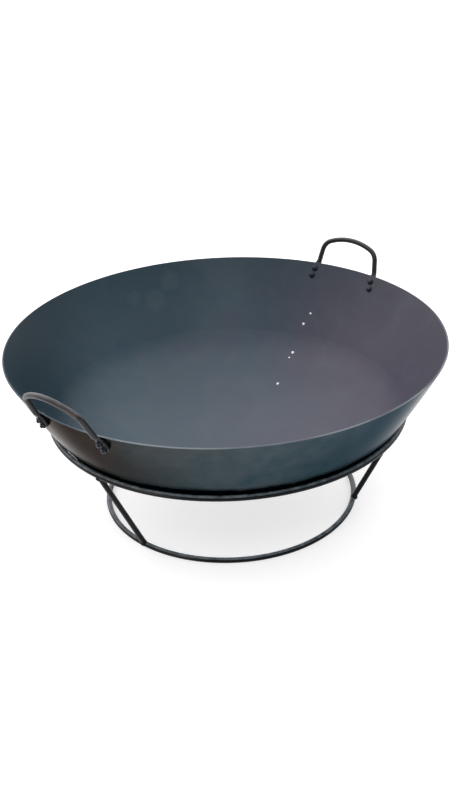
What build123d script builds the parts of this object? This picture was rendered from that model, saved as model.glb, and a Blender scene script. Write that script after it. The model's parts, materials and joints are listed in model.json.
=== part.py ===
from build123d import *
import os
from math import asin, cos, degrees, radians, sin, tan

os.makedirs("parts", exist_ok=True)

# A wide dished steel bowl with two bar handles, resting in a low stand of welded round bar.
# The origin is on the bowl's axis, at the floor. +Z is up, and the two handles lie on the X axis.
# Lengths are in millimetres and angles in degrees. An azimuth is measured from +X towards +Y.

# Bowl: one sheet, dimensioned on its outer face
RIM_RADIUS = 400.0
RIM_HEIGHT = 328.0  # the outer corner of the sheet's edge, which is square to the sheet
SHEET = 3.0
RIM_LEAN = 27.0  # the wall's angle from vertical at the rim
WALL_RADIUS = 1400.0  # the wall's gentle bow, seen in section
WALL_FOOT_LEAN = 33.2  # the wall's angle from vertical where the knuckle starts
KNUCKLE_RADIUS = 110.0
DISH_SLOPE = 26.0  # the dished floor's angle from level where the knuckle ends
RIM_EDGE_ROUND = 0.4
LAND_DEPTH = 0.5  # the edge's sharp crest is dressed level, this far down

# Stand
BAR = 10.0
SEAT_GAP = 0.3
TOP_RING_HEIGHT = 193.0
BASE_RING_RADIUS = 236.0
LEG_AZIMUTHS = {"left": 177.0, "front": 297.0, "back": 57.0}
COPE_GAP = 0.02
LEG_WELD_RADIUS = 6.4
LEG_WELD_SETBACK = 4.0  # from the ring's centreline along the leg
LEG_WELD_SHIFT = 1.0  # away from the bowl
BUTT_WELD_RADIUS = 6.4
BUTT_WELD_FLUSH = 3.0  # from the bar's centreline to where its weld is ground away
BUTT_WELD_AZIMUTH = 25.0

# Handles: the two loops were bent by hand, so they differ a little in shape and place
HANDLES = {
    "left": {"azimuth": 179.5, "height": 75.0, "lean": 28.0, "splay": 6.0, "shoulder": 13.0, "crown": 38.0},
    "right": {"azimuth": 0.4, "height": 60.0, "lean": 17.0, "splay": 8.5, "shoulder": 26.0, "crown": 23.0},
}
HANDLE_SPAN = 132.0  # between the legs' centrelines at the rim

# Feet: the bar's ends, flattened to lie on the wall
FOOT_DEPTH = 19.5  # from the rim down the wall to the middle of the foot
FOOT_WIDTH = 16.0
FOOT_THICKNESS = 5.0
FOOT_TOP = 13.5  # from the middle of the foot up to where the flat ends
FOOT_BOTTOM = 14.5
ROUND_START = 26.0  # from the middle of the foot up to where the bar is round

# Fasteners
BOLT = 6.0
BOLT_HOLE = 6.6
BOLT_PITCH = 15.0
BOLT_TAIL = 2.5  # thread showing past the nut
TAIL_CHAMFER = 0.8
HEAD_RADIUS = 6.0
HEAD_HEIGHT = 4.0
HEAD_EDGE = 1.0  # the head's straight side, under its dome
HEAD_GAP = 0.15
NUT_FLATS = 10.0
NUT_HEIGHT = 5.0
NUT_BORE = 6.1
NUT_CHAMFER = 0.7


def wall_point(lean, clear=0.0):
    """Radius and height of the outer face where it leans by lean, or clear millimetres outside it."""
    reach = WALL_RADIUS + clear
    return (
        RIM_RADIUS - WALL_RADIUS * cos(radians(RIM_LEAN)) + reach * cos(radians(lean)),
        RIM_HEIGHT + WALL_RADIUS * sin(radians(RIM_LEAN)) - reach * sin(radians(lean)),
    )


def outward(azimuth):
    """Level unit vector pointing away from the axis."""
    return Vector(1, 0, 0).rotate(Axis.Z, azimuth)


def flatten(direction, normal):
    """The direction with its part along the normal taken out."""
    return (direction - normal * direction.dot(normal)).normalized()


def save(part, label):
    part.label = label
    export_step(part, f"parts/{label}.step")


def foot_plane(handle, hand):
    """Plane on the outer face at a foot's middle: x up the foot, z out of the wall."""
    azimuth, splay = handle["azimuth"], radians(handle["splay"])
    lean = RIM_LEAN + degrees(FOOT_DEPTH / WALL_RADIUS)
    radius, height = wall_point(lean)
    reach = HANDLE_SPAN / 2 + FOOT_DEPTH * sin(splay)
    away = outward(azimuth + hand * degrees(asin(reach / radius)))
    normal = away * cos(radians(lean)) - Vector(0, 0, sin(radians(lean)))
    up_wall = outward(azimuth) * sin(radians(lean)) + Vector(0, 0, cos(radians(lean)))
    aside = outward(azimuth + 90)
    along = up_wall * cos(splay) - aside * (hand * sin(splay))
    return Plane(
        origin=away * radius + Vector(0, 0, height),
        x_dir=flatten(along, normal),
        z_dir=normal,
    )


feet = {
    name: [foot_plane(handle, hand) for hand in (1, -1)] for name, handle in HANDLES.items()
}
bolt_steps = [(BOLT_PITCH / 2, 0), (-BOLT_PITCH / 2, 0)]


def wall_to_dish(clear):
    """Section of the bowl's face clear millimetres outside the outer one, from the rim to the axis."""
    down_wall = (-sin(radians(RIM_LEAN)), -cos(radians(RIM_LEAN)))
    wall = JernArc(
        wall_point(RIM_LEAN, clear), down_wall, WALL_RADIUS + clear, RIM_LEAN - WALL_FOOT_LEAN
    )
    knuckle = JernArc(wall @ 1, wall % 1, KNUCKLE_RADIUS + clear, WALL_FOOT_LEAN + DISH_SLOPE - 90)
    dish_radius = (knuckle @ 1).X / sin(radians(DISH_SLOPE))
    dish = JernArc(knuckle @ 1, knuckle % 1, dish_radius, -DISH_SLOPE)
    return wall @ 0, dish @ 1


with BuildPart() as bowl:
    with BuildSketch(Plane.XZ):
        with BuildLine():
            outer_rim, outer_floor = wall_to_dish(0)
            inner_rim, inner_floor = wall_to_dish(-SHEET)
            Line(outer_rim, inner_rim)
            Line(outer_floor, inner_floor)
        make_face()
    revolve(axis=Axis.Z)
    fillet(bowl.edges().sort_by(SortBy.LENGTH)[-1], RIM_EDGE_ROUND)
    crest_height = wall_point(RIM_LEAN, -SHEET)[1]
    split(bisect_by=Plane.XY.offset(crest_height - LAND_DEPTH), keep=Keep.BOTTOM)
    for plane in feet["left"] + feet["right"]:
        with BuildSketch(plane):
            with Locations(*bolt_steps):
                Circle(BOLT_HOLE / 2)
        extrude(amount=2 * SHEET, both=True, mode=Mode.SUBTRACT)
save(bowl.part, "bowl")


def loop_plane(handle, planes):
    """Plane of a handle's loop, and half the distance between its legs there."""
    tops = [plane.from_local_coords((ROUND_START, 0, BAR / 2)) for plane in planes]
    aside = (tops[0] - tops[1]).normalized()
    lean = radians(handle["lean"])
    up = outward(handle["azimuth"]) * sin(lean) + Vector(0, 0, cos(lean))
    plane = Plane(origin=(tops[0] + tops[1]) * 0.5, x_dir=aside, z_dir=aside.cross(up))
    return plane, (tops[0] - tops[1]).length / 2


def crown_and_leg(handle, half, rise):
    """Crown radius and straight leg length of a loop that rises that far above its legs' feet."""
    splay, crown = radians(handle["splay"]), radians(handle["crown"])
    shoulder_rise = handle["shoulder"] * (cos(crown) - sin(splay))
    shoulder_reach = handle["shoulder"] * (cos(splay) - sin(crown))
    crown_radius = (half - shoulder_reach - tan(splay) * (rise - shoulder_rise)) / (
        sin(crown) - tan(splay) * (1 - cos(crown))
    )
    leg = (rise - shoulder_rise - crown_radius * (1 - cos(crown))) / cos(splay)
    return crown_radius, leg


def make_handle(handle, planes):
    """A bent loop of round bar whose ends are forged flat and drilled."""
    plane, half = loop_plane(handle, planes)
    rise = handle["height"] - (ROUND_START - FOOT_DEPTH)
    crown_radius, leg = crown_and_leg(handle, half, rise)
    turn = 90 - handle["splay"] - handle["crown"]
    splay = radians(handle["splay"])
    with BuildPart() as loop:
        with BuildLine(plane) as path:
            first_leg = Line((half, 0), (half - leg * sin(splay), leg * cos(splay)))
            first_shoulder = JernArc(first_leg @ 1, first_leg % 1, handle["shoulder"], turn)
            crown = JernArc(
                first_shoulder @ 1, first_shoulder % 1, crown_radius, 2 * handle["crown"]
            )
            last_shoulder = JernArc(crown @ 1, crown % 1, handle["shoulder"], turn)
            Line(last_shoulder @ 1, (-half, 0))
        with BuildSketch(Plane(origin=path.wire() @ 0, z_dir=path.wire() % 0)):
            Circle(BAR / 2)
        sweep(path=path.wire())
        ends = [(path.wire() @ 0, path.wire() % 0), (path.wire() @ 1, path.wire() % 1 * -1)]
        for (end, upward), foot in zip(ends, planes):
            flat_start = foot.from_local_coords((FOOT_TOP, 0, FOOT_THICKNESS / 2))
            with BuildSketch(Plane(origin=flat_start, x_dir=foot.y_dir, z_dir=foot.x_dir)):
                Ellipse(FOOT_WIDTH / 2, FOOT_THICKNESS / 2)
            with BuildSketch(
                Plane(origin=end, x_dir=flatten(foot.y_dir, upward), z_dir=upward)
            ):
                Circle(BAR / 2)
            loft()
            with BuildSketch(foot):
                with Locations((-(FOOT_BOTTOM - FOOT_WIDTH / 2), 0)):
                    Circle(FOOT_WIDTH / 2)
                    Rectangle(
                        FOOT_TOP + FOOT_BOTTOM - FOOT_WIDTH / 2,
                        FOOT_WIDTH,
                        align=(Align.MIN, Align.CENTER),
                    )
                with Locations(*bolt_steps):
                    Circle(BOLT_HOLE / 2, mode=Mode.SUBTRACT)
            extrude(amount=FOOT_THICKNESS)
    return loop.part


def make_bolts(planes):
    """Dome-headed bolts: head inside the bowl, shank through the wall and the foot."""
    head_face = -(SHEET + HEAD_GAP)
    tail_end = FOOT_THICKNESS + NUT_HEIGHT + BOLT_TAIL
    dome_rise = HEAD_HEIGHT - HEAD_EDGE
    dome_radius = (HEAD_RADIUS**2 + dome_rise**2) / (2 * dome_rise)
    dome_turn = degrees(asin(HEAD_RADIUS / dome_radius))
    with BuildPart() as bolts:
        for plane in planes:
            for step in bolt_steps:
                axis_start = plane.from_local_coords((*step, 0))
                side_view = Plane(origin=axis_start, x_dir=plane.z_dir, z_dir=plane.x_dir)
                with BuildSketch(side_view):
                    with BuildLine():
                        dome = JernArc((head_face - HEAD_HEIGHT, 0), (0, 1), dome_radius, -dome_turn)
                        Polyline(
                            dome @ 1,
                            (head_face, HEAD_RADIUS),
                            (head_face, BOLT / 2),
                            (tail_end - TAIL_CHAMFER, BOLT / 2),
                            (tail_end, BOLT / 2 - TAIL_CHAMFER),
                            (tail_end, 0),
                            dome @ 0,
                        )
                    make_face()
                revolve(axis=Axis(axis_start, plane.z_dir))
    return bolts.part


def make_nuts(planes):
    """Hexagon nuts, tightened against the feet."""
    with BuildPart() as nuts:
        for plane in planes:
            seat = plane.offset(FOOT_THICKNESS)
            with BuildSketch(seat):
                with Locations(*bolt_steps):
                    RegularPolygon(NUT_FLATS / 2, 6, major_radius=False)
                    Circle(NUT_BORE / 2, mode=Mode.SUBTRACT)
            extrude(amount=NUT_HEIGHT)
            crests = nuts.faces(Select.LAST).sort_by(Axis(seat.origin, seat.z_dir))[-2:]
            chamfer([edge for face in crests for edge in face.outer_wire().edges()], NUT_CHAMFER)
    return nuts.part


for name, handle in HANDLES.items():
    save(make_handle(handle, feet[name]), f"{name}_handle")
    save(make_bolts(feet[name]), f"{name}_handle_bolts")
    save(make_nuts(feet[name]), f"{name}_handle_nuts")


# Stand: the top ring's bar touches the wall, apart from the seat gap
seat_reach = WALL_RADIUS + BAR / 2 + SEAT_GAP
seat_lean = degrees(
    asin((RIM_HEIGHT + WALL_RADIUS * sin(radians(RIM_LEAN)) - TOP_RING_HEIGHT) / seat_reach)
)
top_ring_radius = wall_point(seat_lean, BAR / 2 + SEAT_GAP)[0]
rings = {
    "top": (top_ring_radius, TOP_RING_HEIGHT),
    "base": (BASE_RING_RADIUS, BAR / 2),
}


def ring_solid(name, bar_radius):
    """Hoop of round bar, free of any builder."""
    radius, height = rings[name]
    return Pos(0, 0, height) * Torus(radius, bar_radius)


def on_ring(name, azimuth):
    """Point on a ring's centreline."""
    radius, height = rings[name]
    return outward(azimuth) * radius + Vector(0, 0, height)


for name, (radius, height) in rings.items():
    with BuildPart() as ring:
        with BuildSketch(Plane.XZ):
            with Locations((radius, height)):
                Circle(BAR / 2)
        revolve(axis=Axis.Z)
    save(ring.part, f"stand_{name}_ring")

cope_cutters = [ring_solid(name, BAR / 2 + COPE_GAP) for name in rings]

for name, azimuth in LEG_AZIMUTHS.items():
    foot, head = on_ring("base", azimuth), on_ring("top", azimuth)
    upward = (head - foot).normalized()
    leg_axis = Plane(origin=foot, z_dir=upward)
    with BuildPart() as leg:
        with BuildSketch(leg_axis):
            Circle(BAR / 2)
        extrude(amount=(head - foot).length)
        for cutter in cope_cutters:
            add(cutter, mode=Mode.SUBTRACT)
    save(leg.part, f"stand_leg_{name}")

    joins = {"foot": (foot, upward), "top": (head, upward * -1)}
    for join, (start, direction) in joins.items():
        centre = start + direction * LEG_WELD_SETBACK + outward(azimuth) * LEG_WELD_SHIFT
        with BuildPart() as weld:
            with Locations(centre):
                Sphere(LEG_WELD_RADIUS)
            with BuildSketch(Plane(origin=foot, z_dir=upward)):
                Circle(BAR / 2 + COPE_GAP)
            extrude(amount=(head - foot).length, mode=Mode.SUBTRACT)
            for cutter in cope_cutters:
                add(cutter, mode=Mode.SUBTRACT)
        save(weld.part, f"{name}_leg_{join}_weld")

# Each hoop's closing weld is ground flush where the bowl or the floor touches it
level_away = outward(BUTT_WELD_AZIMUTH) * cos(radians(seat_lean))
flush_sides = {
    "top": level_away - Vector(0, 0, sin(radians(seat_lean))),
    "base": Vector(0, 0, 1),
}
for name, away in flush_sides.items():
    seam = on_ring(name, BUTT_WELD_AZIMUTH)
    with BuildPart() as butt_weld:
        with Locations(seam):
            Sphere(BUTT_WELD_RADIUS)
        with BuildSketch(Plane(origin=seam, z_dir=outward(BUTT_WELD_AZIMUTH + 90))):
            Circle(BAR / 2 + 2 * COPE_GAP)
        extrude(amount=BUTT_WELD_RADIUS, both=True, mode=Mode.SUBTRACT)
        split(bisect_by=Plane(origin=seam - away * BUTT_WELD_FLUSH, z_dir=away), keep=Keep.TOP)
    save(butt_weld.part, f"{name}_ring_butt_weld")
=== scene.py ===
import json
import math

import bmesh
import bpy
from mathutils import Matrix, Vector, noise as field


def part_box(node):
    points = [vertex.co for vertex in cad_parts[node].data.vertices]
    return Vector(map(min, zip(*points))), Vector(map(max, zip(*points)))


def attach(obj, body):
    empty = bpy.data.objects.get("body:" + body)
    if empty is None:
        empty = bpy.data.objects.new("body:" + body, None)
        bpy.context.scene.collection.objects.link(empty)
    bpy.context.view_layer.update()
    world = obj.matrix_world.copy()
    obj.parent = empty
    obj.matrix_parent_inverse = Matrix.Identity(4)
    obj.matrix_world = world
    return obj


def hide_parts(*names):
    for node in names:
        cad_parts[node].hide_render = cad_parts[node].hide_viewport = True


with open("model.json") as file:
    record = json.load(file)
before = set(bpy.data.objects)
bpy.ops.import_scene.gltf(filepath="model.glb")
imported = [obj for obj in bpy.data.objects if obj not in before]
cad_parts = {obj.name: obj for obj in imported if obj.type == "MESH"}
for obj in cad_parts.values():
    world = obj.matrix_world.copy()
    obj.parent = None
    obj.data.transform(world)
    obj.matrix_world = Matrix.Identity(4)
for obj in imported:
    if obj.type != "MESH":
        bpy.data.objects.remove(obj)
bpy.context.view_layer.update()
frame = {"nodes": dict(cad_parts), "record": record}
nodes = frame["nodes"]
slot_of = {subpart["node"]: subpart["material_slot"] for subpart in frame["record"]["subparts"]}

# ---- Camera ----

# Lengths are in metres, and directions are azimuths in degrees, from +X towards +Y
CAMERA_AZIMUTH = 219.7
CAMERA_DISTANCE = 1.9516  # from the bowl's axis, along the floor
CAMERA_HEIGHT = 1.2363
CAMERA_PITCH = 27.97  # below level
CAMERA_YAW = -0.13  # to the right of the bowl's axis
CAMERA_ROLL = -2.49
CAMERA_LENS = 53.38
CAMERA_SENSOR = 36.0


def around(azimuth, distance, height):
    """Point at that azimuth and distance from the bowl's axis."""
    angle = math.radians(azimuth)
    return Vector((distance * math.cos(angle), distance * math.sin(angle), height))


def add_camera():
    camera = bpy.data.objects.new("camera", bpy.data.cameras.new("camera"))
    bpy.context.scene.collection.objects.link(camera)
    heading = math.radians(CAMERA_AZIMUTH - 270 - CAMERA_YAW)
    tilt = math.radians(90 - CAMERA_PITCH)
    turn = (
        Matrix.Rotation(heading, 4, "Z")
        @ Matrix.Rotation(tilt, 4, "X")
        @ Matrix.Rotation(math.radians(CAMERA_ROLL), 4, "Z")
    )
    place = around(CAMERA_AZIMUTH, CAMERA_DISTANCE, CAMERA_HEIGHT)
    camera.matrix_world = Matrix.Translation(place) @ turn
    camera.data.lens = CAMERA_LENS
    camera.data.sensor_width = CAMERA_SENSOR
    bpy.context.scene.camera = camera


# ---- Shader nodes ----


def new_material(name, roughness=0.5, metallic=0.0):
    """A material, its node tree and its Principled shader."""
    material = bpy.data.materials.new(name)
    material.use_nodes = True
    shader = material.node_tree.nodes["Principled BSDF"]
    shader.inputs["Roughness"].default_value = roughness
    shader.inputs["Metallic"].default_value = metallic
    return material, material.node_tree, shader


def feed(tree, socket, value):
    """Link the socket to another one, or set it."""
    if isinstance(value, bpy.types.NodeSocket):
        tree.links.new(value, socket)
    else:
        socket.default_value = value


def coordinate(tree, kind):
    return tree.nodes.new("ShaderNodeTexCoord").outputs[kind]


def height_of(tree, vector):
    split = tree.nodes.new("ShaderNodeSeparateXYZ")
    feed(tree, split.inputs["Vector"], vector)
    return split.outputs["Z"]


def combine(tree, operation, first, second):
    node = tree.nodes.new("ShaderNodeMath")
    node.operation = operation
    feed(tree, node.inputs[0], first)
    feed(tree, node.inputs[1], second)
    return node.outputs["Value"]


def total(tree, first, second):
    return combine(tree, "ADD", first, second)


def product(tree, first, second):
    return combine(tree, "MULTIPLY", first, second)


def largest(tree, first, second):
    return combine(tree, "MAXIMUM", first, second)


def combine_vectors(tree, operation, first, second=(0, 0, 0)):
    node = tree.nodes.new("ShaderNodeVectorMath")
    node.operation = operation
    feed(tree, node.inputs[0], first)
    feed(tree, node.inputs[1], second)
    return node


def toward(tree, place, azimuth):
    """How far the place lies from the bowl's axis in that direction."""
    return combine_vectors(tree, "DOT_PRODUCT", place, around(azimuth, 1, 0)).outputs["Value"]


def off_axis(tree, place):
    """Distance from the bowl's axis."""
    level = combine_vectors(tree, "MULTIPLY", place, (1, 1, 0)).outputs["Vector"]
    return combine_vectors(tree, "LENGTH", level).outputs["Value"]


def noise(tree, place, scale, detail, roughness=0.55, distortion=0.0):
    node = tree.nodes.new("ShaderNodeTexNoise")
    feed(tree, node.inputs["Vector"], place)
    settings = {"Scale": scale, "Detail": detail, "Roughness": roughness, "Distortion": distortion}
    for key, number in settings.items():
        node.inputs[key].default_value = number
    return node.outputs["Fac"]


def span(tree, value, low, high, to_low=0.0, to_high=1.0):
    """The value's stretch from low to high, spread smoothly over to_low to to_high."""
    node = tree.nodes.new("ShaderNodeMapRange")
    node.interpolation_type = "SMOOTHSTEP"
    feed(tree, node.inputs["Value"], value)
    limits = {"From Min": low, "From Max": high, "To Min": to_low, "To Max": to_high}
    for key, number in limits.items():
        node.inputs[key].default_value = number
    return node.outputs["Result"]


def mix(tree, share, first, second):
    """Colour that goes from first to second by share.

    The Mix node has sockets of the same names for other kinds: 6, 7 and 2 are its colours.
    """
    node = tree.nodes.new("ShaderNodeMix")
    node.data_type = "RGBA"
    feed(tree, node.inputs["Factor"], share)
    for socket, color in ((node.inputs[6], first), (node.inputs[7], second)):
        feed(tree, socket, color if isinstance(color, bpy.types.NodeSocket) else (*color, 1))
    return node.outputs[2]


def bump(tree, shader, height, distance, strength):
    node = tree.nodes.new("ShaderNodeBump")
    feed(tree, node.inputs["Height"], height)
    node.inputs["Distance"].default_value = distance
    node.inputs["Strength"].default_value = strength
    feed(tree, shader.inputs["Normal"], node.outputs["Normal"])


# ---- Light and floor ----

AWAY = CAMERA_AZIMUTH - 180
SOFTBOXES = {
    "key": {
        "azimuth": AWAY + 62, "distance": 3.2, "height": 2.9, "size": 3.4, "watts": 30,
        "tint": (1, 0.94, 0.98),
    },
    "fill": {
        "azimuth": AWAY - 105, "distance": 3.0, "height": 1.4, "size": 2.0, "watts": 2,
        "tint": (0.62, 0.9, 1),
    },
    "front": {
        "azimuth": AWAY + 180, "distance": 2.6, "height": 3.2, "size": 1.2, "watts": 26,
        "tint": (0.94, 0.95, 1),
    },
    "low": {
        "azimuth": AWAY + 140, "distance": 1.5, "height": 0.22, "size": 0.6, "watts": 6,
        "tint": (1, 0.72, 0.48),
    },
}
AIM = Vector((0, 0, 0.2))  # what the softboxes point at
SKY_BRIGHT_SIDE = (AWAY + 15, 45.0)  # azimuth and elevation of the studio's brightest wall
SKY_FALLOFF = (-0.45, 1.0)  # cosines of the angles from that wall that are dimmest and brightest
SKY_DIM = (0.20, 0.29, 0.33)
SKY_BRIGHT = (2.15, 2.05, 2.1)
BACKDROP = (1, 1, 1)
FLOOR_COLOR = (0.5, 0.5, 0.5, 1)
FLOOR_ROUGHNESS = 0.9
FLOOR_GLOW = 0.62
FLOOR_SPAN = 60.0


def add_softbox(name, azimuth, distance, height, size, watts, tint):
    light = bpy.data.objects.new(f"{name}_light", bpy.data.lights.new(f"{name}_light", "AREA"))
    light.data.shape = "DISK"
    light.data.size = size
    light.data.energy = watts
    light.data.color = tint
    light.location = around(azimuth, distance, height)
    light.rotation_euler = (AIM - light.location).to_track_quat("-Z", "Y").to_euler()
    bpy.context.scene.collection.objects.link(light)


def add_world():
    """A studio brighter on the far side and dimmer behind the camera, with a plain white backdrop."""
    world = bpy.data.worlds.new("studio")
    world.use_nodes = True
    tree = world.node_tree
    azimuth, elevation = SKY_BRIGHT_SIDE
    rise = math.radians(elevation)
    brightest = around(azimuth, math.cos(rise), math.sin(rise))
    facing = combine_vectors(tree, "DOT_PRODUCT", coordinate(tree, "Generated"), brightest)
    sky = mix(tree, span(tree, facing.outputs["Value"], *SKY_FALLOFF), SKY_DIM, SKY_BRIGHT)
    seen = tree.nodes.new("ShaderNodeLightPath").outputs["Is Camera Ray"]
    feed(tree, tree.nodes["Background"].inputs["Color"], mix(tree, seen, sky, BACKDROP))
    bpy.context.scene.world = world


def add_floor():
    mesh = bpy.data.meshes.new("floor")
    half = FLOOR_SPAN / 2
    corners = [(-half, -half, 0), (half, -half, 0), (half, half, 0), (-half, half, 0)]
    mesh.from_pydata(corners, [], [(0, 1, 2, 3)])
    floor = bpy.data.objects.new("floor", mesh)
    bpy.context.scene.collection.objects.link(floor)
    material, _, shader = new_material("floor_white", roughness=FLOOR_ROUGHNESS)
    shader.inputs["Base Color"].default_value = FLOOR_COLOR
    shader.inputs["Emission Color"].default_value = (1, 1, 1, 1)
    shader.inputs["Emission Strength"].default_value = FLOOR_GLOW
    mesh.materials.append(material)


# ---- The bowl's two finishes ----

RIM_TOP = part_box("bowl")[1].z
CUT_FACE = 0.0009  # height of the rim's cut face
CUT_FACE_FADE = 0.0003

# Inside: blued sheet
INSIDE_SHINE = 0.24
TEAL = (0.030, 0.060, 0.078)
# painted light: the purple tint of the light falling on one side of the inside
PURPLE_LIGHT_TINT = (0.054, 0.050, 0.070)
PALE_MOTTLE = (0.056, 0.070, 0.082)
# painted shade near the rim
PAINTED_RIM_SHADE = (0.002, 0.010, 0.015)
# painted shade on the wall that faces away from the light
PAINTED_SHADE_WALL = (0.001, 0.016, 0.025)
# painted highlight on the middle of the floor
PAINTED_FLOOR_HIGHLIGHT = (0.085, 0.100, 0.116)
RUBBED = (0.12, 0.15, 0.16)
CHIPPED = (0.75, 0.77, 0.78)
# unpainted metal on the rim's cut face, partly a painted highlight
BARE_AND_LIT_EDGE = (0.13, 0.15, 0.16)
PURPLE_LIT_SIDE = 300.0  # azimuth of the side painted with the purple tint of the light
SHADED_SIDE = 140.0  # azimuth of the wall darkened with painted shade
WORN_AND_LIT_RIM = 250.0  # azimuth of the middle of the rim's worn stretch, which also carries a painted highlight
SPECKS = (  # small bare chips, strung down the wall below the right handle: place and radius
    (0.342, 0.051, 0.237, 0.0030),
    (0.328, 0.059, 0.217, 0.0034),
    (0.286, 0.057, 0.168, 0.0038),
    (0.274, 0.057, 0.161, 0.0026),
    (0.210, 0.040, 0.133, 0.0036),
)
SMUDGES = (  # pale rubbed patches high on the far wall: place and radius
    (0.208, 0.317, 0.294, 0.026),
    (0.167, 0.322, 0.265, 0.030),
    (0.129, 0.346, 0.277, 0.022),
)

# Outside: glossy black
BLACK = (0.052, 0.074, 0.084)
BLACK_MOTTLE = (0.074, 0.093, 0.102)
# painted reflection: a lighter black on the side that shows brighter surroundings
PAINTED_LIGHT_BLACK = (0.088, 0.108, 0.124)
# painted reflection of a brownish floor, in the colour and in the edge tint
BROWN_REFLECTION = (0.062, 0.052, 0.046)
SOOT = (0.034, 0.037, 0.040)
# painted shade and reflection of the dark hoop, on the wall just above it
RING_SHADE_BAND = (0.0, 0.001, 0.002)
COOL_EDGE = (0.35, 0.38, 0.40)  # tint of the shine along the outside's edges
WARM_REFLECTION_EDGE = (0.39, 0.355, 0.335)
PAINTED_LIGHT_SIDE = 290.0  # azimuth of the part with painted light
BROWN_REFLECTION_SIDE = 158.0  # azimuth of the painted reflection of a brownish floor
SHADE_BAND_START = (0.180, 0.204)  # the painted shade band above the hoop fades in over these heights
SHADE_BAND_END = (0.215, 0.226)  # and out over these
SOOT_HEIGHTS = (0.170, 0.215)  # the underside's soot fades out over these
OUTSIDE_NORMAL = -0.05  # the outside's faces look down by more than this


def spots(tree, place, marks, ragged):
    """1 in the middle of each mark, fading to 0 at about its radius, with a ragged outline."""
    shown = None
    for x, y, z, radius in marks:
        gap = combine_vectors(tree, "DISTANCE", place, (x, y, z)).outputs["Value"]
        reach = total(tree, gap, product(tree, ragged, radius))
        spot = span(tree, reach, radius * 0.9, radius * 1.5, 1.0, 0.0)
        shown = spot if shown is None else largest(tree, shown, spot)
    return shown


def bare_and_lit_rim(tree, place):
    """Share of unpainted metal, which is partly worn paint and partly a painted highlight: patchy on
    the cut face over about a third of the rim, and none elsewhere.
    """
    cut_from = RIM_TOP - CUT_FACE
    edge = span(tree, height_of(tree, place), cut_from - CUT_FACE_FADE, cut_from)
    stretch = span(tree, toward(tree, place, WORN_AND_LIT_RIM), 0.13, 0.19)
    patches = span(tree, noise(tree, place, 14.0, detail=5), 0.3, 0.6, 0.35, 0.9)
    return product(tree, product(tree, edge, stretch), patches)


def inner_material():
    """Blued sheet with a cloudy painted tint, painted shade and painted highlights, rubbed patches and
    a few chips.
    """
    material, tree, shader = new_material("bowl_inside")
    shader.inputs["Specular IOR Level"].default_value = INSIDE_SHINE
    place = coordinate(tree, "Object")
    radius = off_axis(tree, place)
    clouds = noise(tree, place, 3.2, detail=3, distortion=0.5)
    mottle = noise(tree, place, 30.0, detail=6, roughness=0.6)
    grain = noise(tree, place, 620.0, detail=3)
    # painted light: purple tint of the light on one side, teal on the other
    purple_light_share = total(tree, toward(tree, place, PURPLE_LIT_SIDE), product(tree, clouds, 0.5))
    sheet = mix(tree, span(tree, purple_light_share, 0.05, 0.50), TEAL, PURPLE_LIGHT_TINT)
    sheet = mix(tree, span(tree, mottle, 0.35, 0.75, 0.0, 0.45), sheet, PALE_MOTTLE)
    # painted shade: darker towards the rim
    sheet = mix(tree, span(tree, radius, 0.33, 0.41, 0.0, 0.3), sheet, PAINTED_RIM_SHADE)
    # painted shade: the wall on one side darker, in place of the light falling off there
    painted_shade = span(tree, toward(tree, place, SHADED_SIDE), 0.18, 0.38, 0.0, 0.95)
    sheet = mix(tree, painted_shade, sheet, PAINTED_SHADE_WALL)
    # painted highlight: paler towards the middle of the floor
    sheet = mix(tree, span(tree, radius, 0.12, 0.32, 0.35, 0.0), sheet, PAINTED_FLOOR_HIGHLIGHT)
    rubbed = spots(tree, place, SMUDGES, noise(tree, place, 55.0, detail=5))
    sheet = mix(tree, product(tree, rubbed, 0.11), sheet, RUBBED)
    chips = spots(tree, place, SPECKS, noise(tree, place, 260.0, detail=2))
    sheet = mix(tree, chips, sheet, CHIPPED)
    # partly worn paint, partly a painted highlight along the rim's cut face
    bare_and_lit = bare_and_lit_rim(tree, place)
    feed(tree, shader.inputs["Base Color"], mix(tree, bare_and_lit, sheet, BARE_AND_LIT_EDGE))
    feed(tree, shader.inputs["Metallic"], bare_and_lit)
    smears = noise(tree, place, 7.0, detail=5, distortion=1.2)
    feed(tree, shader.inputs["Roughness"], span(tree, smears, 0.3, 0.7, 0.40, 0.50))
    bump(tree, shader, total(tree, mottle, product(tree, grain, 0.15)), distance=0.0003, strength=0.3)
    return material


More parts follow.
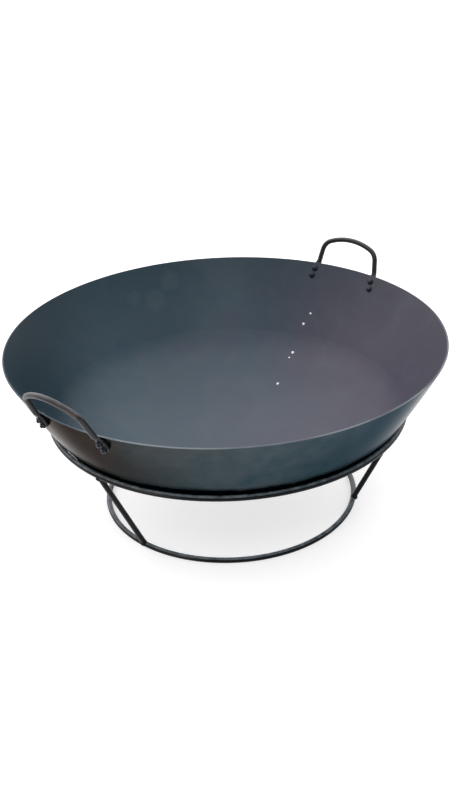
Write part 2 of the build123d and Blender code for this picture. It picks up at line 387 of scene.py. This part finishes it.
def outer_material():
    """Smooth black whose shine stays low at its edges, with a brownish painted reflection, a lighter
    painted side, soot and a painted shade band above the hoop.
    """
    material, tree, shader = new_material("bowl_outside", metallic=1.0)
    place = coordinate(tree, "Object")
    clouds = noise(tree, place, 6.0, detail=4, distortion=0.6)
    mottle = noise(tree, place, 30.0, detail=6, roughness=0.6)
    ragged_height = total(tree, height_of(tree, place), product(tree, mottle, 0.012))
    # painted reflection: lighter towards one side
    painted_light = span(tree, toward(tree, place, PAINTED_LIGHT_SIDE), 0.22, 0.38)
    # painted reflection: a brownish tint towards one side
    brownish_reach = total(tree, toward(tree, place, BROWN_REFLECTION_SIDE), product(tree, clouds, 0.2))
    brown_reflection = span(tree, brownish_reach, 0.24, 0.50, 0.0, 0.8)
    sooted = span(tree, ragged_height, *SOOT_HEIGHTS, 1.0, 0.0)
    # painted shade: a black band just above the hoop
    shade_band_in = span(tree, ragged_height, *SHADE_BAND_START)
    shade_band_out = span(tree, ragged_height, *SHADE_BAND_END, 1.0, 0.0)
    ring_shade = product(tree, shade_band_in, shade_band_out)

    black = mix(tree, span(tree, mottle, 0.3, 0.7), BLACK, BLACK_MOTTLE)
    for share, color in ((painted_light, PAINTED_LIGHT_BLACK), (brown_reflection, BROWN_REFLECTION), (sooted, SOOT), (ring_shade, RING_SHADE_BAND)):
        black = mix(tree, share, black, color)
    feed(tree, shader.inputs["Base Color"], black)
    feed(tree, shader.inputs["Specular Tint"], mix(tree, brown_reflection, COOL_EDGE, WARM_REFLECTION_EDGE))
    polish = span(tree, clouds, 0.3, 0.7, 0.12, 0.24)
    matt = product(tree, largest(tree, ring_shade, sooted), 0.5)
    feed(tree, shader.inputs["Roughness"], total(tree, polish, matt))
    bump(tree, shader, mottle, distance=0.0002, strength=0.25)
    return material


# ---- The bars', fasteners' and welds' finishes ----

# light: colour of the upper side, partly dust and partly a painted highlight
STEEL_FINISHES = {
    "handle_bar": {
        "dark": (0.010, 0.011, 0.013), "light": (0.050, 0.049, 0.049), "roughness": 0.34, "shine": 0.3,
    },
    "fastener": {
        "dark": (0.005, 0.009, 0.014), "light": (0.014, 0.020, 0.031), "roughness": 0.32, "shine": 0.25,
    },
    "stand_bar": {
        "dark": (0.001, 0.002, 0.003), "light": (0.15, 0.18, 0.20), "roughness": 0.24, "shine": 0.12,
    },
    "weld_bead": {
        "dark": (0.001, 0.002, 0.003), "light": (0.050, 0.060, 0.068), "roughness": 0.34, "shine": 0.12,
    },
}
DUST_AND_HIGHLIGHT_SLOPE = (0.45, 0.95)  # upward part of the normal where the dust and painted highlight start and where they are full


def steel_material(name, dark, light, roughness, shine):
    """Black steel, paler along its upper side: dust and dulling, and a painted highlight."""
    material, tree, shader = new_material(name)
    shader.inputs["Specular IOR Level"].default_value = shine
    place = coordinate(tree, "Object")
    upper = span(tree, height_of(tree, coordinate(tree, "Normal")), *DUST_AND_HIGHLIGHT_SLOPE)
    mottle = noise(tree, place, 60.0, detail=6, roughness=0.6)
    grain = noise(tree, place, 900.0, detail=3)
    # painted highlight: the upward-facing side lighter, in patches of dust
    dust_and_highlight = product(tree, upper, span(tree, mottle, 0.3, 0.65, 0.35, 1.0))
    feed(tree, shader.inputs["Base Color"], mix(tree, dust_and_highlight, dark, light))
    dulled = span(tree, mottle, 0.3, 0.7, roughness - 0.05, roughness + 0.08)
    feed(tree, shader.inputs["Roughness"], dulled)
    bump(tree, shader, total(tree, mottle, product(tree, grain, 0.2)), distance=0.0002, strength=0.5)
    return material


# ---- Pieces ----


def add_piece(name, mesh, node, body, smooth=True):
    """Put a finished mesh in the scene in a CAD node's place, in that node's finish."""
    piece = bpy.data.objects.new(name, mesh)
    bpy.context.scene.collection.objects.link(piece)
    mesh.materials.clear()
    mesh.materials.append(finishes[slot_of[node]])
    for face in mesh.polygons:
        face.use_smooth = smooth
    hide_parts(node)
    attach(piece, body)


def add_bowl():
    """The bowl's own shape with its two finishes, the outer one on every face that looks down."""
    mesh = nodes["bowl"].data.copy()
    piece = bpy.data.objects.new("bowl_two_finishes", mesh)
    piece.matrix_world = nodes["bowl"].matrix_world
    bpy.context.scene.collection.objects.link(piece)
    mesh.materials.clear()
    for material in (inner_material(), outer_material()):
        mesh.materials.append(material)
    for face in mesh.polygons:
        face.material_index = int(face.normal.z < OUTSIDE_NORMAL)
    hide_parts("bowl")
    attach(piece, "bowl")


# ---- Forged and welded shapes ----

HANDLE_VOXEL = 0.0008
HANDLE_SMOOTHING = 5
WELD_VOXEL = 0.0006
WELD_SMOOTHING = 2


def hammered(point):
    """Shallow hammer marks, as a height above the bar."""
    return 0.00012 * field.noise(point * 160) + 0.00005 * field.noise(point * 500)


def rippled(point):
    """Ripples of a weld bead, as a height above its smooth shape."""
    return 0.0003 * field.noise(point * 300) + 0.00018 * field.noise(point * 800)


def worked_mesh(node, voxel, smoothing, swell):
    """A CAD node's shape in fine even faces, smoothed, then moved along its normals by swell(point)."""
    piece = bpy.data.objects.new("worked", nodes[node].data.copy())
    piece.matrix_world = nodes[node].matrix_world
    bpy.context.scene.collection.objects.link(piece)
    remesh = piece.modifiers.new("remesh", "REMESH")
    remesh.mode = "VOXEL"
    remesh.voxel_size = voxel
    smooth = piece.modifiers.new("smooth", "SMOOTH")
    smooth.factor = 0.5
    smooth.iterations = smoothing
    shown = piece.evaluated_get(bpy.context.evaluated_depsgraph_get())
    mesh = bpy.data.meshes.new_from_object(shown)
    mesh.transform(piece.matrix_world)
    bpy.data.objects.remove(piece)
    moves = [vert.normal * swell(vert.co) for vert in mesh.vertices]
    for vert, move in zip(mesh.vertices, moves):
        vert.co += move
    return mesh


# ---- Bolts and nuts ----

BOLT_COLUMNS = 32
BOLT_ANGLES = [math.tau * i / BOLT_COLUMNS for i in range(BOLT_COLUMNS)]
DOME_STEPS = 10
HEAD_EDGE = 0.0008  # upright edge under a bolt head's dome
HEAD_UNDERSIDE = 0.97  # share of the head's radius where its underside starts
HEAD_OUTER = 0.9  # points farther out than this share of the head's radius are the head's own
SEAT_CLEARANCE = 0.001  # the shank is measured this far below the head
THREAD_PITCH = 0.001
THREAD_DEPTH = 0.0005
THREAD_STEP = THREAD_PITCH / 8
THREAD_CHAMFER = 0.0008
NUT_COLUMNS = 48
NUT_FACE = 0.95  # share of the flats' distance where the nut's corner chamfer starts
COUNTERSINK = 0.0003
HEXAGON_TURN = math.radians(60)
CORNER_CHAMFER = math.radians(30)


def middle_of(points):
    return sum(points, Vector()) / len(points)


def solids_of(node):
    """The points of each separate solid in a CAD node."""
    mesh = bmesh.new()
    mesh.from_mesh(nodes[node].data)
    mesh.transform(nodes[node].matrix_world)
    bmesh.ops.remove_doubles(mesh, verts=mesh.verts, dist=1e-6)
    solids, seen = [], set()
    for start in mesh.verts:
        if start in seen:
            continue
        seen.add(start)
        waiting, points = [start], []
        while waiting:
            vert = waiting.pop()
            points.append(vert.co.copy())
            for edge in vert.link_edges:
                other = edge.other_vert(vert)
                if other not in seen:
                    seen.add(other)
                    waiting.append(other)
        solids.append(points)
    mesh.free()
    return solids


class Axis:
    """A line from a bolt's middle out through its nut, with places measured along and off it."""

    def __init__(self, bolt, nut):
        self.base = middle_of(bolt)
        self.along = (middle_of(nut) - self.base).normalized()
        self.side = self.along.orthogonal().normalized()
        self.across = self.along.cross(self.side)

    def depth(self, point):
        return (point - self.base).dot(self.along)

    def radius(self, point):
        return (point - self.base - self.along * self.depth(point)).length

    def angle(self, point):
        out = point - self.base
        return math.atan2(out.dot(self.across), out.dot(self.side))

    def place(self, radius, angle, depth):
        sweep = self.side * math.cos(angle) + self.across * math.sin(angle)
        return self.base + self.along * depth + sweep * radius


def add_skin(mesh, rows, capped):
    """Faces over rows of points that run round an axis.

    A capped skin is closed at both ends, and any other joins its last row to its first.
    """
    made = [[mesh.verts.new(point) for point in row] for row in rows]
    columns = len(rows[0])
    pairs = list(zip(made, made[1:]))
    if not capped:
        pairs.append((made[-1], made[0]))
    for lower, upper in pairs:
        for i in range(columns):
            j = (i + 1) % columns
            mesh.faces.new((lower[i], lower[j], upper[j], upper[i]))
    if capped:
        for row in (made[0], made[-1]):
            middle = mesh.verts.new(middle_of([vert.co for vert in row]))
            for i in range(columns):
                mesh.faces.new((row[i], row[(i + 1) % columns], middle))


def head_profile(head, shank, crown, seat):
    """Radius and depth of a domed head's outline, from beside its crown to where the shank starts."""
    rise = seat - crown - HEAD_EDGE
    profile = []
    for step in range(1, DOME_STEPS + 1):
        turn = math.radians(90) * step / DOME_STEPS
        profile.append((head * math.sin(turn), crown + rise * (1 - math.cos(turn))))
    profile += [(head, seat - HEAD_EDGE / 2), (head * HEAD_UNDERSIDE, seat), (shank, seat)]
    return profile


def add_bolt(mesh, axis, bolt, thread_start):
    """Domed head, plain shank, and a thread from where the nut starts to the chamfered tip."""
    depths = [axis.depth(point) for point in bolt]
    crown, tip = min(depths), max(depths)
    head = max(axis.radius(point) for point in bolt)
    seat = max(axis.depth(point) for point in bolt if axis.radius(point) > HEAD_OUTER * head)
    shank_from = seat + SEAT_CLEARANCE
    shank = max(axis.radius(point) for point in bolt if axis.depth(point) > shank_from)
    rows = []
    for radius, depth in head_profile(head, shank, crown, seat):
        rows.append([axis.place(radius, angle, depth) for angle in BOLT_ANGLES])
    count = round((tip - thread_start) / THREAD_STEP)
    for step in range(count + 1):
        depth = thread_start + (tip - thread_start) * step / count
        taper = max(0.0, depth - (tip - THREAD_CHAMFER))
        row = []
        for angle in BOLT_ANGLES:
            phase = (depth / THREAD_PITCH - angle / math.tau) % 1.0
            groove = THREAD_DEPTH * (1 - abs(2 * phase - 1))
            row.append(axis.place(shank - max(groove, taper), angle, depth))
        rows.append(row)
    add_skin(mesh, rows, capped=True)


def nut_profile(hole, outer, face, near, far):
    """Radius and depth round a nut's section, where its outside is that far from the axis."""
    drop = (outer - face) * math.tan(CORNER_CHAMFER)
    return (
        (hole + COUNTERSINK, near),
        (face, near),
        (outer, near + drop),
        (outer, far - drop),
        (face, far),
        (hole + COUNTERSINK, far),
        (hole, far - COUNTERSINK),
        (hole, near + COUNTERSINK),
    )


def add_nut(mesh, axis, nut):
    """Hexagon nut with its corners chamfered on both faces and its hole countersunk."""
    depths = [axis.depth(point) for point in nut]
    hole = min(axis.radius(point) for point in nut)
    corner = max(nut, key=axis.radius)
    start = axis.angle(corner)
    flats = axis.radius(corner) * math.cos(HEXAGON_TURN / 2)
    sections = []
    for i in range(NUT_COLUMNS):
        turn = math.tau * i / NUT_COLUMNS
        outer = flats / math.cos(turn % HEXAGON_TURN - HEXAGON_TURN / 2)
        profile = nut_profile(hole, outer, flats * NUT_FACE, min(depths), max(depths))
        sections.append([axis.place(radius, start + turn, depth) for radius, depth in profile])
    add_skin(mesh, list(zip(*sections)), capped=False)


def finished_mesh(name, shape):
    bmesh.ops.recalc_face_normals(shape, faces=shape.faces)
    mesh = bpy.data.meshes.new(name)
    shape.to_mesh(mesh)
    shape.free()
    return mesh


def fasten(side):
    """One handle's bolts and nuts, each nut on the bolt nearest to it."""
    bolts = solids_of(f"{side}_handle_bolts")
    bolt_shape, nut_shape = bmesh.new(), bmesh.new()
    for nut in solids_of(f"{side}_handle_nuts"):
        bolt = min(bolts, key=lambda points: (middle_of(points) - middle_of(nut)).length)
        axis = Axis(bolt, nut)
        add_bolt(bolt_shape, axis, bolt, thread_start=min(axis.depth(point) for point in nut))
        add_nut(nut_shape, axis, nut)
    bolts_mesh = finished_mesh("bolts", bolt_shape)
    nuts_mesh = finished_mesh("nuts", nut_shape)
    add_piece(f"{side}_bolts_threaded", bolts_mesh, f"{side}_handle_bolts", "bowl")
    add_piece(f"{side}_nuts_chamfered", nuts_mesh, f"{side}_handle_nuts", "bowl", smooth=False)


# ---- The whole scene ----

add_camera()
add_world()
for name, softbox in SOFTBOXES.items():
    add_softbox(name, **softbox)
add_floor()

finishes = {name: steel_material(name, **finish) for name, finish in STEEL_FINISHES.items()}
for node in nodes:
    if node.startswith("stand_"):
        nodes[node].data.materials.clear()
        nodes[node].data.materials.append(finishes[slot_of[node]])
    elif node.endswith("_weld"):
        bead = worked_mesh(node, WELD_VOXEL, WELD_SMOOTHING, rippled)
        add_piece(f"{node}_rippled", bead, node, "stand")
for side in ("left", "right"):
    node = f"{side}_handle"
    handle = worked_mesh(node, HANDLE_VOXEL, HANDLE_SMOOTHING, hammered)
    add_piece(f"{node}_forged", handle, node, "bowl")
    fasten(side)
add_bowl()

bpy.context.scene.view_settings.view_transform = "Standard"
